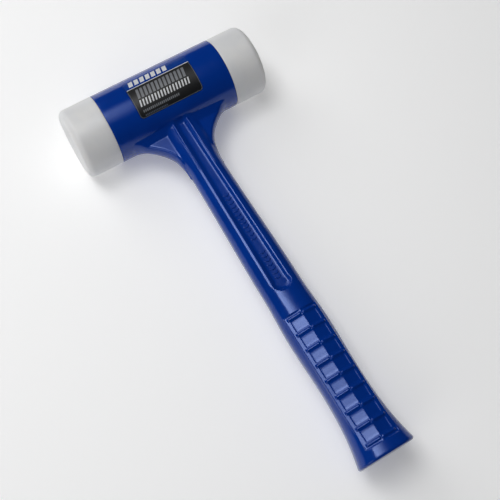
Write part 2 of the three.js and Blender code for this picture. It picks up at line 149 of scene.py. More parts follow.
# ---- small maths
def smooth(a, b, v):
    """Smooth step: 0 below a, 1 above b, 3f^2 - 2f^3 between."""
    f = np.clip((v - a) / (b - a), 0.0, 1.0)
    return f * f * (3 - 2 * f)


def blend(a, b, f):
    """Straight mix: a where f is 0, b where f is 1."""
    return a + (b - a) * f


def full_turn(count):
    """Even angles round a full circle."""
    return np.linspace(0, 2 * np.pi, count, endpoint=False)


def spaced(start, *stretches):
    """Places along a line: from start, each (end, steps) stretch is divided into its even steps."""
    places = [np.array([start], float)]
    for end, steps in stretches:
        places.append(np.linspace(start, end, steps + 1)[1:])
        start = end
    return np.concatenate(places)


# ---- meshes
def place(points):
    """Head-frame (x, depth, z) in millimetres to the row's frame in metres."""
    p = np.asarray(points, float)
    return np.stack([p[..., 0], HEAD_Y - p[..., 1], HEAD_Z + p[..., 2]], axis=-1) * MM


def grid_quads(rows, cols, first=0, wrap=True):
    """Quads over a rows x cols grid of points; with wrap the last column joins the first."""
    i = np.arange(rows - 1)[:, None] * cols
    j = np.arange(cols if wrap else cols - 1)[None, :]
    k = (j + 1) % cols
    quads = np.stack([i + j, i + k, i + cols + k, i + cols + j], axis=-1)
    return quads.reshape(-1, 4) + first


SHARP_ANGLE = math.radians(38)


class Shell:
    """Collects vertices and faces of one piece."""

    def __init__(self):
        self.points = []
        self.faces = []
        self.count = 0

    def add(self, points, *groups):
        """Points, and groups of faces that each have one number of corners."""
        points = np.asarray(points, float).reshape(-1, 3)
        self.points.append(points)
        for faces in groups:
            self.faces.extend((faces + self.count).tolist())
        self.count += len(points)

    def copy(self, other, offset):
        """Another shell of one block, moved by an offset."""
        self.points.append(other.points[0] + offset)
        self.faces.extend([[index + self.count for index in face] for face in other.faces])
        self.count += other.count

    def tube(self, rings, flip=False):
        """Rings (rows, cols, 3) joined into a closed skin; the first and last ring close to a point."""
        rings = np.asarray(rings, float)
        rows, cols = rings.shape[:2]
        poles = np.stack([rings[0].mean(axis=0), rings[-1].mean(axis=0)])
        quads = grid_quads(rows, cols)
        j = np.arange(cols)
        k = (j + 1) % cols
        top = rows * cols
        last = (rows - 1) * cols
        start_fan = np.stack([k, j, np.full(cols, top)], axis=-1)
        end_fan = np.stack([last + j, last + k, np.full(cols, top + 1)], axis=-1)
        if flip:
            quads, start_fan, end_fan = quads[:, ::-1], start_fan[:, ::-1], end_fan[:, ::-1]
        self.add(np.concatenate([rings.reshape(-1, 3), poles]), quads, start_fan, end_fan)

    def loop(self, rings, flip=False):
        """Rings joined into a closed ring-shaped skin: the last ring joins the first."""
        rings = np.asarray(rings, float)
        rows, cols = rings.shape[:2]
        quads = grid_quads(rows + 1, cols) % (rows * cols)
        self.add(rings, quads[:, ::-1] if flip else quads)

    def slab(self, top, bottom):
        """Two grids (rows, cols, 3) closed along their border into one thin solid."""
        rows, cols = top.shape[:2]
        n = rows * cols
        upper = grid_quads(rows, cols, wrap=False)
        lower = grid_quads(rows, cols, first=n, wrap=False)[:, ::-1]
        index = np.arange(n).reshape(rows, cols)
        border = np.concatenate([index[0, :-1], index[:-1, -1], index[-1, :0:-1], index[:0:-1, 0]])
        after = np.roll(border, -1)
        side = np.stack([after, border, border + n, after + n], axis=-1)
        faces = np.concatenate([upper, lower, side])
        self.add(np.stack([top, bottom]), faces[:, ::-1])


def make_piece(name, shell, material, body, replaces=()):
    """A smooth-shaded mesh object from a shell, with its sharper edges kept sharp."""
    mesh = bpy.data.meshes.new(name)
    mesh.from_pydata(place(np.concatenate(shell.points)), [], shell.faces)
    mesh.validate()
    mesh.polygons.foreach_set("use_smooth", np.ones(len(mesh.polygons), bool))
    mesh.set_sharp_from_angle(angle=SHARP_ANGLE)
    mesh.materials.append(material)
    piece = bpy.data.objects.new(name, mesh)
    bpy.context.scene.collection.objects.link(piece)
    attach(piece, body)
    if replaces:
        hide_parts(*replaces)
    return piece


def turned_rings(profile, sides, side=1.0):
    """Rings about the head's axis from (x, radius) points; side -1 turns the piece half round about Z."""
    x, r = np.asarray(profile, float).T
    turn = full_turn(sides)
    across = r[:, None] * np.cos(turn)
    up = r[:, None] * np.sin(turn)
    along = np.repeat(x[:, None], sides, axis=1)
    return np.stack([side * along, side * across, up], axis=-1)


def arc(cx, cr, radius, start_deg, end_deg, steps=6):
    """Profile points on a circle: angle 0 points along +x, 90 away from the axis."""
    a = np.radians(np.linspace(start_deg, end_deg, steps + 1))
    return [(cx + radius * math.cos(v), cr + radius * math.sin(v)) for v in a]


# ---- node materials
def linear(hex_colour, factor=1.0, lift=0.0):
    """sRGB hex to a linear RGBA value, made darker or lighter by a factor and a lift."""
    parts = [int(hex_colour[i:i + 2], 16) / 255 for i in (1, 3, 5)]
    parts = [c / 12.92 if c <= 0.04045 else ((c + 0.055) / 1.055) ** 2.4 for c in parts]
    return [min(1.0, c * factor + lift) for c in parts] + [1.0]


def new_material(name, **settings):
    """A material with a Principled shader whose sockets are set from the keywords."""
    material = bpy.data.materials.new(name)
    material.use_nodes = True
    shader = material.node_tree.nodes["Principled BSDF"]
    for key, value in settings.items():
        shader.inputs[key.replace("_", " ")].default_value = value
    return material, material.node_tree, shader


def add_node(tree, kind, links=None, **settings):
    """Adds a node; settings with a socket's name set the socket, others set the node; links feed sockets."""
    node = tree.nodes.new("ShaderNode" + kind)
    for key, value in settings.items():
        if hasattr(node, key):
            setattr(node, key, value)
        else:
            node.inputs[key.replace("_", " ")].default_value = value
    for socket, source in (links or {}).items():
        tree.links.new(source, node.inputs[socket])
    return node


def ramp(tree, source, stops):
    """Colour ramp from (place, value or colour) stops."""
    node = add_node(tree, "ValToRGB", {"Fac": source})
    elements = node.color_ramp.elements
    while len(elements) < len(stops):
        elements.new(0.5)
    for element, (at, value) in zip(elements, stops):
        element.position = at
        element.color = value if isinstance(value, (list, tuple)) else (value, value, value, 1.0)
    return node


def object_coords(tree):
    """Object coordinates: metres in the row's frame, since every piece sits at the origin."""
    return add_node(tree, "TexCoord").outputs["Object"]


def per_mm(size_mm):
    """Texture scale for features of a size in millimetres, on Object coordinates in metres."""
    return 1.0 / (size_mm * MM)


def mottle(tree, shader, socket, where, size_mm, detail, stops):
    """Cloudy noise of a size in millimetres, whose ramp feeds one of the shader's sockets."""
    noise = add_node(tree, "TexNoise", {"Vector": where}, Scale=per_mm(size_mm), Detail=detail)
    shades = ramp(tree, noise.outputs["Fac"], stops)
    tree.links.new(shades.outputs["Color"], shader.inputs[socket])
    return noise.outputs["Fac"]


def finish_bump(tree, shader, height, distance_mm, strength, after=None):
    """Bump of a real height in millimetres into the shader's normal."""
    links = {"Height": height}
    if after is not None:
        links["Normal"] = after
    bump = add_node(tree, "Bump", links, Strength=strength, Distance=distance_mm * MM)
    tree.links.new(bump.outputs["Normal"], shader.inputs["Normal"])
    return bump.outputs["Normal"]


def blue_polyurethane():
    """Cast polyurethane, pigmented deep blue, from a polished mould: high gloss with a faint
    orange peel, long soft waviness from shrinkage, and slightly duller patches from handling.
    Pigment near the surface tints its reflections blue."""
    material, tree, shader = new_material(
        "cast_polyurethane_blue", Roughness=0.16, IOR=1.64, Specular_Tint=(0.45, 0.58, 1.0, 1.0),
    )
    where = object_coords(tree)
    mottle(tree, shader, "Base Color", where, 38, 2.0, [(0.3, linear("#01318B")), (0.7, linear("#013695"))])
    mottle(tree, shader, "Roughness", where, 9, 4.0, [(0.35, 0.13), (0.7, 0.19)])
    peel = add_node(tree, "TexNoise", {"Vector": where}, Scale=per_mm(1.6), Detail=1.0)
    waves = add_node(tree, "TexNoise", {"Vector": where}, Scale=per_mm(14), Detail=1.0)
    first = finish_bump(tree, shader, waves.outputs["Fac"], 0.2, 0.3)
    finish_bump(tree, shader, peel.outputs["Fac"], 0.05, 0.5, after=first)
    return material


def white_nylon():
    """Natural white nylon 6, turned from bar: milky, softly translucent, satin, with fine
    turning rings and a few scuffs."""
    material, tree, shader = new_material(
        "turned_nylon_white", Roughness=0.38, IOR=1.53, Subsurface_Weight=0.35,
        Subsurface_Radius=(1.0, 0.95, 0.9), Subsurface_Scale=0.003,
    )
    where = object_coords(tree)
    mottle(tree, shader, "Base Color", where, 22, 3.0, [(0.3, linear("#E3E4E6")), (0.7, linear("#EBEBEA"))])
    parts = add_node(tree, "SeparateXYZ", {"Vector": where})
    rings = add_node(tree, "Math", {0: parts.outputs["X"]}, operation="MULTIPLY")
    rings.inputs[1].default_value = 2 * math.pi * per_mm(0.9)
    wave = add_node(tree, "Math", {0: rings.outputs[0]}, operation="SINE")
    first = finish_bump(tree, shader, wave.outputs[0], 0.01, 0.35)
    scuff = add_node(tree, "TexNoise", {"Vector": where}, Scale=per_mm(3), Detail=6.0, Roughness=0.7)
    finish_bump(tree, shader, scuff.outputs["Fac"], 0.06, 0.25, after=first)
    return material


def printed_film(name, hex_colour, roughness=0.34):
    """Printed polyester film under a clear laminate: even colour, satin gloss, faint waviness."""
    material, tree, shader = new_material(name, Roughness=roughness, IOR=1.55)
    where = object_coords(tree)
    shades = [(0.3, linear(hex_colour)), (0.75, linear(hex_colour, 1.12, 0.0015))]
    cloud = mottle(tree, shader, "Base Color", where, 6, 2.0, shades)
    finish_bump(tree, shader, cloud, 0.05, 0.2)
    return material


def steel(name, hex_colour, roughness, grain_mm, axis="X"):
    """Machined or drawn steel: fine tool lines across the axis and slightly uneven sheen."""
    material, tree, shader = new_material(name, Metallic=1.0, Roughness=roughness)
    where = object_coords(tree)
    shades = [(0.35, linear(hex_colour, 0.82)), (0.65, linear(hex_colour))]
    mottle(tree, shader, "Base Color", where, 5, 4.0, shades)
    mottle(tree, shader, "Roughness", where, 5, 4.0, [(0.3, roughness * 0.8), (0.7, roughness * 1.25)])
    parts = add_node(tree, "SeparateXYZ", {"Vector": where})
    lines = add_node(tree, "TexNoise", {"W": parts.outputs[axis]}, noise_dimensions="1D",
                     Scale=per_mm(grain_mm), Detail=2.0)
    finish_bump(tree, shader, lines.outputs["Fac"], 0.02, 0.3)
    return material


def dull_rubber(name, hex_colour, roughness=0.75):
    """Moulded nitrile rubber or filled plastic: matt, with a fine even grain."""
    material, tree, shader = new_material(name, Roughness=roughness, IOR=1.5)
    where = object_coords(tree)
    shades = [(0.35, linear(hex_colour)), (0.7, linear(hex_colour, 1.3, 0.002))]
    grain = mottle(tree, shader, "Base Color", where, 0.5, 3.0, shades)
    finish_bump(tree, shader, grain, 0.05, 0.4)
    return material


def studio_floor():
    """Pale matt paper on a table that is softly lit from below."""
    material, tree, shader = new_material(
        "pale_paper", Roughness=0.9, Emission_Color=(1.0, 1.0, 1.0, 1.0), Emission_Strength=0.25)
    shades = [(0.3, linear("#F4F4F4")), (0.7, linear("#F7F7F7"))]
    mottle(tree, shader, "Base Color", object_coords(tree), 2, 4.0, shades)
    return material


# ---- camera, floor and lights
def look(obj, target, roll_deg=0.0):
    """Turns obj so that its -Z points at target, with +Y up in its view, then rolls it."""
    back = (obj.location - Vector(target)).normalized()
    right = Vector((0, 1, 0)).cross(back).normalized()
    up = back.cross(right)
    turn = Matrix((right, up, back)).transposed()
    roll = Matrix.Rotation(math.radians(roll_deg), 3, "Z")
    obj.rotation_euler = (turn @ roll).to_euler()


def add_camera():
    """From above, on the butt's side and to the left of the head, rolled so that the handle runs
    down to the right."""
    data = bpy.data.cameras.new("camera")
    data.sensor_width = 36.0
    data.lens = 64.97
    data.clip_end = 10.0
    camera = bpy.data.objects.new("camera", data)
    camera.location = (-0.1447, -0.2003, 0.6967)
    bpy.context.scene.collection.objects.link(camera)
    look(camera, (-0.00516, 0.00367, 0.030), roll_deg=-32.07)
    bpy.context.scene.camera = camera


def add_softbox(name, location, target, size, radiance):
    """An even rectangular light; a radiance of 1 is that of white paper in full light."""
    data = bpy.data.lights.new(name, "AREA")
    data.shape = "RECTANGLE"
    data.size, data.size_y = size
    data.energy = radiance * math.pi * size[0] * size[1]
    light = bpy.data.objects.new(name, data)
    light.location = location
    bpy.context.scene.collection.objects.link(light)
    look(light, target)
    return light


def fade_softbox(light, across, along):
    """Lets a rectangular light fade over its width and its length, by (place, share) stops."""
    data = light.data
    data.use_nodes = True
    tree = data.node_tree
    spot = add_node(tree, "NewGeometry").outputs["Parametric"]
    parts = add_node(tree, "SeparateXYZ", {"Vector": spot})
    fade_across = ramp(tree, parts.outputs["X"], across)
    fade_along = ramp(tree, parts.outputs["Y"], along)
    share = add_node(tree, "Math", {0: fade_across.outputs["Color"], 1: fade_along.outputs["Color"]},
                     operation="MULTIPLY")
    tree.links.new(share.outputs[0], tree.nodes["Emission"].inputs["Strength"])


OVERHEAD_FADE_ACROSS = (
    (0.0, 1.0), (0.25, 1.0), (0.40, 0.88), (0.54, 0.78),
    (0.67, 0.58), (0.78, 0.37), (0.88, 0.20), (1.0, 0.05),
)
OVERHEAD_FADE_ALONG = (
    (0.0, 0.05), (0.12, 0.22), (0.25, 0.5), (0.38, 0.78),
    (0.6, 1.0), (0.7, 1.0), (0.88, 0.3), (1.0, 0.1),
)
ROOM_LIGHT = 0.03
ROOM_SEEN = 0.75
FLOOR_HALF = 3.0


def pale_room():
    """A dim room that gives little light of its own, with a pale wall behind the floor's far edge."""
    world = bpy.data.worlds.new("studio")
    world.use_nodes = True
    tree = world.node_tree
    room = tree.nodes["Background"]
    room.inputs["Color"].default_value = (0.93, 0.95, 1.0, 1.0)
    seen = add_node(tree, "LightPath").outputs["Is Camera Ray"]
    strength = add_node(tree, "MapRange", {"Value": seen}, To_Min=ROOM_LIGHT, To_Max=ROOM_SEEN)
    tree.links.new(strength.outputs["Result"], room.inputs["Strength"])
    return world


def add_studio():
    """The floor, the room and three softboxes: one overhead that fades to the right and at both ends,
    one behind and one on the left."""
    mesh = bpy.data.meshes.new("floor")
    corners = [(x * FLOOR_HALF, y * FLOOR_HALF, 0) for x, y in ((-1, -1), (1, -1), (1, 1), (-1, 1))]
    mesh.from_pydata(corners, [], [(0, 1, 2, 3)])
    mesh.materials.append(studio_floor())
    floor = bpy.data.objects.new("floor", mesh)
    bpy.context.scene.collection.objects.link(floor)
    bpy.context.scene.world = pale_room()
    bpy.context.scene.view_settings.view_transform = "Standard"
    middle = (0.0, 0.0, HEAD_Z * MM)
    overhead = add_softbox("overhead_softbox", (-0.155, 0.30, 1.25), (-0.155, 0.30, 0.0), (0.81, 1.10), 7.2)
    fade_softbox(overhead, OVERHEAD_FADE_ACROSS, OVERHEAD_FADE_ALONG)
    add_softbox("rear_softbox", (-0.6, 1.5, 1.2), middle, (1.0, 1.3), 2.2)
    add_softbox("left_softbox", (-1.75, -0.75, 1.1), middle, (1.1, 1.3), 1.6)


# ---- the handle's form
def half_size(key, depth):
    """Smooth steps from station to station, plus the butt's flare: a power of the way to the butt."""
    value = np.full_like(depth, NECK[key])
    for here, after in zip(STATIONS, STATIONS[1:]):
        value += (after[key] - here[key]) * smooth(here["depth"], after["depth"], depth)
    way = np.clip((depth - WAIST["depth"]) / (BUTT["depth"] - WAIST["depth"]), 0, None)
    return value + (BUTT[key] - WAIST[key]) * way ** BUTT_CURVE


def column_section(depth, height):
    """Half-width, half-thickness and squareness n of the column |x/w|^n + |z/t|^n = 1.

    height is how far above the head's side a ring lies; near that side the column swells."""
    push = fillet_push(height, COLUMN_FILLET_R, 2.0)
    w = half_size("w", depth) + NECK_WIDENING * (1 - smooth(NECK_WIDE_TO, NECK_SLIM_FROM, depth)) + push
    n = blend(NECK_SQUARENESS, GRIP_SQUARENESS, smooth(SQUARE_FROM, SQUARE_TO, depth))
    return w, half_size("t", depth) + push, n


def web_section(depth, height):
    """Half-width, half-thickness and edge width of the webs' plate, which fades out below the neck."""
    run = np.clip((NECK["depth"] - depth) / (NECK["depth"] - HEAD_R), 0, 1.02)
    flare = WEB_REACH - NECK["w"]
    slope = flare * WEB_CURVE * run ** (WEB_CURVE - 1) / (NECK["depth"] - HEAD_R)
    fade = 1 - smooth(WEB_FADE_FROM, NECK["depth"], depth)
    w = NECK["w"] + flare * run ** WEB_CURVE + fillet_push(height, WEB_TIP_FILLET_R, 2.0)
    t = WEB_HALF_THICKNESS * fade + fillet_push(height, WEB_FILLET_R, WEB_FILLET_ROUNDNESS)
    return w, t, WEB_EDGE * np.sqrt(1 + slope ** 2)


def fillet_push(height, radius, roundness):
    """Outward push r(1 - (1 - (1 - h/r)^p)^(1/p)): a quarter circle at p = 2, which leaves the head
    tangentially, and closer to a straight slope that meets the web in a corner as p nears 1."""
    level = np.clip(1 - np.clip(height, 0, None) / radius, 0, 1)
    return radius * (1 - (1 - level ** roundness) ** (1 / roundness))


UNION_POWER = 14.0  # p in (a^p + b^p)^(1/p), which joins two outlines


def joined(a, b):
    """The larger of two outlines, with a small rounding where they are alike."""
    return (a ** UNION_POWER + b ** UNION_POWER) ** (1 / UNION_POWER)


def rim_half(depth):
    """Half-width of the recess at its rim, straight from the head to the recess's round end."""
    way = (depth - HEAD_R) / (RECESS_END - HEAD_R)
    return blend(RECESS_START_HALF, RECESS_END_HALF, way)


def rounded_ramp(a, b, v, soft):
    """Straight ramp from 0 at a to 1 at b with its corners rounded over soft to each side."""
    samples = np.linspace(-1, 1, 5)
    ramps = [np.clip((v + s * soft - a) / (b - a), 0, 1) for s in samples]
    return sum(ramps) / len(samples)


def bar(lo, hi, v, soft):
    """1 between lo and hi with soft sides, 0 outside."""
    return smooth(lo - soft, lo + soft, v) * (1 - smooth(hi - soft, hi + soft, v))


def face_height(x, depth, height):
    """Height of the handle's face: the column and webs joined, with the recess and the grip's
    panel cut in. Each cut is blended in by a mask from 0 to 1 with softly rounded sides."""
    w, t, n = column_section(depth, height)
    web_w, web_t, web_edge = web_section(depth, height)
    inside = np.clip(1 - (x / w) ** n, 0, None)
    column = t * inside ** (1 / n)
    over_edge = np.clip(1 - (web_w - x) / web_edge, 0, 1)
    thinned = web_t - WEB_DRAFT * np.clip(x - NECK["w"], 0, None)
    web = np.clip(thinned, 0, None) * np.sqrt(1 - over_edge ** 2)
    z = joined(column, web)
    # grip panel
    along = bar(RIBS_START - PANEL_MARGIN, RIBS_END + PANEL_MARGIN, depth, RIB_SOFTNESS)
    facets = t - FACET_SLOPE * x
    z = blend(z, facets, along * (1 - smooth(PANEL_HALF - PANEL_SOFTNESS, PANEL_HALF + PANEL_SOFTNESS, x)))
    turn = (depth - RIBS_START + RIB_PITCH / 2) % RIB_PITCH - RIB_PITCH / 2
    in_run = (depth > RIBS_START - RIB_PITCH / 2) & (depth < RIBS_END + RIB_PITCH / 2)
    rib = np.cos(np.clip(turn / RIB_HALF, -1, 1) * np.pi / 2) ** 2 * in_run
    z = z + RIB_HEIGHT * rib * bar(RIB_INNER, RIB_OUTER, x, RIB_SOFTNESS)
    between = in_run & (depth > RIBS_START) & (depth < RIBS_END)
    pad = smooth(RIB_HALF - 0.2, RIB_HALF + 0.8, np.abs(turn)) * between
    z = z - PAD_DEPTH * pad * (1 - smooth(PAD_OUTER - PAD_SOFTNESS, PAD_OUTER + PAD_SOFTNESS, x))
    # shank recess
    rim = rim_half(depth)
    reach = np.hypot(x, np.clip(depth - (RECESS_END - RECESS_END_HALF), 0, None))
    rim_z = t * (1 - (rim / w) ** n) ** (1 / n)
    at_end = smooth(RECESS_END - 11, RECESS_END - 4, depth)
    land_edge = rim + LAND_OUT
    land = t * (1 - (land_edge / w) ** n) ** (1 / n) + LAND_SLOPE * (land_edge - reach)
    top = np.where(reach > rim, z, np.minimum(z, rim_z))
    top = blend(np.minimum(top, land), top, at_end)
    wall_top = rim - LAND_IN * (1 - at_end)
    wall_foot = rim - RECESS_WALL * blend(1.0, END_WALL_SHARE, at_end)
    wall = rounded_ramp(wall_foot, wall_top, reach, RIM_SOFTNESS)
    cut = blend(rim_z - RECESS_DEPTH, top, wall)
    near = (reach < rim + CUT_MARGIN) & (depth < RECESS_END + CUT_MARGIN)
    return np.where(near, cut, z)


def side_reach(z, depth, height):
    """How far out the handle's side is at a height z: the column and the webs joined."""
    w, t, n = column_section(depth, height)
    web_w, web_t, web_edge = web_section(depth, height)
    column = w * np.clip(1 - (z / t) ** n, 0, None) ** (1 / n)
    web_t = np.clip(web_t - WEB_DRAFT * np.clip(web_w - NECK["w"], 0, None), 0, None)
    level = np.clip(z / np.maximum(web_t, 1e-3), 0, 1)
    web = np.where(z < 1.08 * web_t, web_w - web_edge * (1 - np.sqrt(1 - level ** 2)), 0)
    return joined(column, web)


SIDE_STEPS = 10


def face_columns(depth, height):
    """Places across the face: they follow the recess's corners and the web's foot and edge, and down
    the grip the ridge, the pads, the ribs' ends and the panel's border."""
    w, _, _ = column_section(depth, height)
    web_w, web_t, web_edge = web_section(depth, height)
    rim = rim_half(np.minimum(depth, RECESS_END))
    floor = rim - RECESS_WALL
    web_share = 1 - smooth(HEAD_R + 20, HEAD_R + 42, depth)
    edge = np.maximum(0.88 * w, (web_w - web_edge) * web_share)
    foot = blend(rim + 0.55 * (edge - rim), np.full_like(w, NECK["w"]), web_share)
    shank_stops = (0 * w, floor - 0.6, floor + 0.6, rim - 0.6, rim + 1.2, foot - 1, foot + 1, edge)
    shank = along_stops(shank_stops, (3, 4, 3, 6, 8, 6, 14))
    grip_stops = (0, RIB_INNER - 0.2, RIB_INNER + 0.9, PAD_OUTER - 0.6, PAD_OUTER + 0.5, RIB_OUTER - 0.3,
                  RIB_OUTER + 0.7, PANEL_HALF - 0.6, PANEL_HALF + 0.6)
    grip_stops = [np.full_like(w, v) for v in grip_stops] + [0.9 * w]
    grip = along_stops(grip_stops, (2, 5, 8, 5, 2, 5, 3, 6, 8))
    return blend(shank, grip, smooth(RECESS_END + 2, RIBS_START - PANEL_MARGIN - 2, depth)[:, None])


def along_stops(stops, steps):
    """Places that divide each stretch between two stops into its number of steps."""
    places = [stops[0]]
    for a, b, count in zip(stops, stops[1:], steps):
        places += [blend(a, b, (i + 1) / count) for i in range(count)]
    return np.stack(places, axis=-1)


def quarter(depth, height):
    """A quarter section from the middle of the face to the side, for rings of equal depth (rows)."""
    x = face_columns(depth, height)
    d = depth[:, None]
    h = height[:, None]
    z = face_height(x, d, h)
    x_edge, z_edge = x[:, -1:], z[:, -1:]
    fall = z_edge * (1 - np.arange(1, SIDE_STEPS + 1) / SIDE_STEPS)
    mismatch = x_edge - side_reach(z_edge, d, h)
    side = side_reach(fall, d, h) + mismatch * (fall / z_edge) ** 2
    return np.concatenate([x, side], axis=1), np.concatenate([z, fall], axis=1)


def order_ring(x, z):
    """Ring from the front's middle to the right side, back, left side and round to the front."""
    parts = ((x, z), (x[:, -2::-1], -z[:, -2::-1]), (-x[:, 1:], -z[:, 1:]), (-x[:, -2:0:-1], z[:, -2:0:-1]))
    return np.concatenate([p[0] for p in parts], axis=1), np.concatenate([p[1] for p in parts], axis=1)


def straight_rings(depths):
    """Rings that each lie at one depth."""
    x, z = order_ring(*quarter(depths, np.full_like(depths, FAR)))
    return np.stack([x, np.repeat(depths[:, None], x.shape[1], axis=1), z], axis=-1)


def ring_at(depths, height):
    """One ring whose columns each lie at their own depth."""
    x, z = order_ring(*quarter(depths, np.full_like(depths, height)))
    index = np.arange(len(depths))
    return np.stack([x[index, index], depths, z[index, index]], axis=-1)


def head_ring(height):
    """A ring at a height above the head's side, where depth follows from
    (HEAD_R + height)^2 = depth^2 + z^2; a few rounds settle depth and z."""
    count = straight_rings(np.array([HEAD_R + 5.0])).shape[1]
    depths = np.full(count, HEAD_R + height - 1.0)
    for _ in range(7):
        ring = ring_at(depths, height)
        depths = np.sqrt(np.maximum((HEAD_R + height) ** 2 - ring[:, 2] ** 2, 1.0))
    ring[:, 1] = depths
    return ring


def handle_depths(first):
    """Rows down the handle: close together where something is cut in, wide apart on plain stretches."""
    stretches = [(NECK["depth"], 34), (RECESS_END - 12, 42), (RECESS_END + 1, 30), (RIBS_START - 5.0, 6)]
    stretches += [(RIBS_START - 2.6, 7)]
    for i in range(RIB_COUNT):
        rib = RIBS_START + i * RIB_PITCH
        stretches += [(rib - 2.6, 4)] * (i > 0) + [(rib + 2.6, 13)]
    stretches += [(RIBS_END + 5.0, 7), (HANDLE_LENGTH - BUTT_EDGE_R, 5)]
    return spaced(first, *stretches)


def outward(ring):
    """Unit outward normal of a ring in its own plane."""
    step = np.roll(ring, -1, axis=0) - np.roll(ring, 1, axis=0)
    length = np.maximum(np.hypot(step[:, 0], step[:, 2]), 1e-9)
    return np.stack([-step[:, 2], 0 * length, step[:, 0]], axis=-1) / length[:, None]


BUTT_EDGE_TURNS = (15, 30, 45, 60, 75, 90)
SETTLE = 7.0  # over this depth the rings turn from following the head's round side to lying square


def handle_shell(shell):
    """The handle as one skin of rings: from inside the jacket out of the head's side, up its fillets,
    down the webs, shank and grip, round the butt's edge by a quarter circle, and to its middle."""
    r = WEB_FILLET_R
    heights = np.concatenate([[-1.0, -0.4], r * (1 - np.cos(np.linspace(0, np.pi / 2, 17)))])
    fillet = [head_ring(h) for h in heights]
    base = fillet[-1]
    depths = handle_depths(HEAD_R + r + 0.7)
    rings = list(fillet)
    for depth in depths[depths < depths[0] + SETTLE]:
        way = float(smooth(-0.5, SETTLE, depth - depths[0]))
        following = base[:, 1] + (depth - depths[0]) + 0.5
        rings.append(ring_at(blend(following, np.full(len(base), depth), way), FAR))
    rings += list(straight_rings(depths[depths >= depths[0] + SETTLE]))
    # rounded butt edge and flat end
    last = rings[-1]
    normal = outward(last)
    for turn in np.radians(BUTT_EDGE_TURNS):
        ring = last - BUTT_EDGE_R * (1 - math.cos(turn)) * normal
        ring[:, 1] = HANDLE_LENGTH - BUTT_EDGE_R * (1 - math.sin(turn))
        rings.append(ring)
    end = rings[-1]
    rings += [end * [share, 1.0, share] for share in (0.9, 0.7, 0.45, 0.2)]
    top = rings[0]
    inner = []
    for share in (0.15, 0.4, 0.65, 0.85):
        z = top[:, 2] * share
        inner.append(np.stack([top[:, 0] * share, np.sqrt((HEAD_R - 1.0) ** 2 - z ** 2), z], axis=-1))
    shell.tube(np.stack(inner + rings), flip=True)


def ridge_shell(shell, across, front):
    """A rounded rod sunk in the recess's rim, where it comes off the head: a profile of shrinking
    circles carried along the rim, with a half-round end on the head."""
    end = RIDGE_START + RIDGE_ROUND * (1 - np.cos(np.linspace(0.05, np.pi / 2, 8)))
    depths = np.concatenate([end, np.linspace(HEAD_R + 1, NECK["depth"], 18)])
    before_full = np.clip((RIDGE_FULL - depths) / (RIDGE_ROUND + 0.05), 0, 1)
    tapered = RIDGE_R * blend(1.0, 0.5, smooth(HEAD_R, NECK["depth"], depths))
    radius = tapered * np.sqrt(1 - before_full ** 2)
    x = rim_half(depths) + RIDGE_OUT
    seat = face_height(x, np.maximum(depths, HEAD_R + 5.0), np.full_like(depths, FAR))
    rise = blend(RIDGE_RISE, RIDGE_RISE_AT_NECK, smooth(HEAD_R, NECK["depth"] - 8, depths))
    z = seat + rise - tapered
    turn = full_turn(20)
    rings = np.stack([
        x[:, None] + radius[:, None] * np.sin(turn),
        depths[:, None] + 0 * turn,
        z[:, None] + radius[:, None] * np.cos(turn)], axis=-1)
    shell.tube(rings * [across, 1, front], flip=across * front > 0)


# ---- the jacket and the label
LABEL_HALF = label_high[0]
LABEL_FROM = -33.0  # degrees round the head from +Z towards the handle
LABEL_SEAM = -13.9  # where the blue header meets the black field
LABEL_TO = 38.5
LABEL_DEPTH = 0.45
LABEL_CORNER = 3.2
FILM_TOP = HEAD_R - 0.05  # the film lies just under the head's surface
INK_TOP = FILM_TOP + 0.03
INK_BOTTOM = FILM_TOP - 0.02
LABEL_LENGTH = math.radians(LABEL_TO - LABEL_FROM) * HEAD_R
SEAM_DOWN = math.radians(LABEL_SEAM - LABEL_FROM) * HEAD_R
SEAT_GAP = 0.12  # between the film's edge and its seat in the jacket
SEAT_SOFTNESS = 0.15
JACKET_EDGE_R = 0.8


def label_inside(x, angle):
    """Distance inside the label's outline in millimetres, a rectangle with round corners."""
    down = np.radians(angle - LABEL_FROM) * HEAD_R
    from_side = LABEL_HALF - np.abs(x)
    from_end = np.minimum(down, LABEL_LENGTH - down)
    r = LABEL_CORNER
    corner = r - np.hypot(np.clip(r - from_side, 0, None), np.clip(r - from_end, 0, None))
    return np.where((from_side < r) & (from_end < r), corner, np.minimum(from_side, from_end))


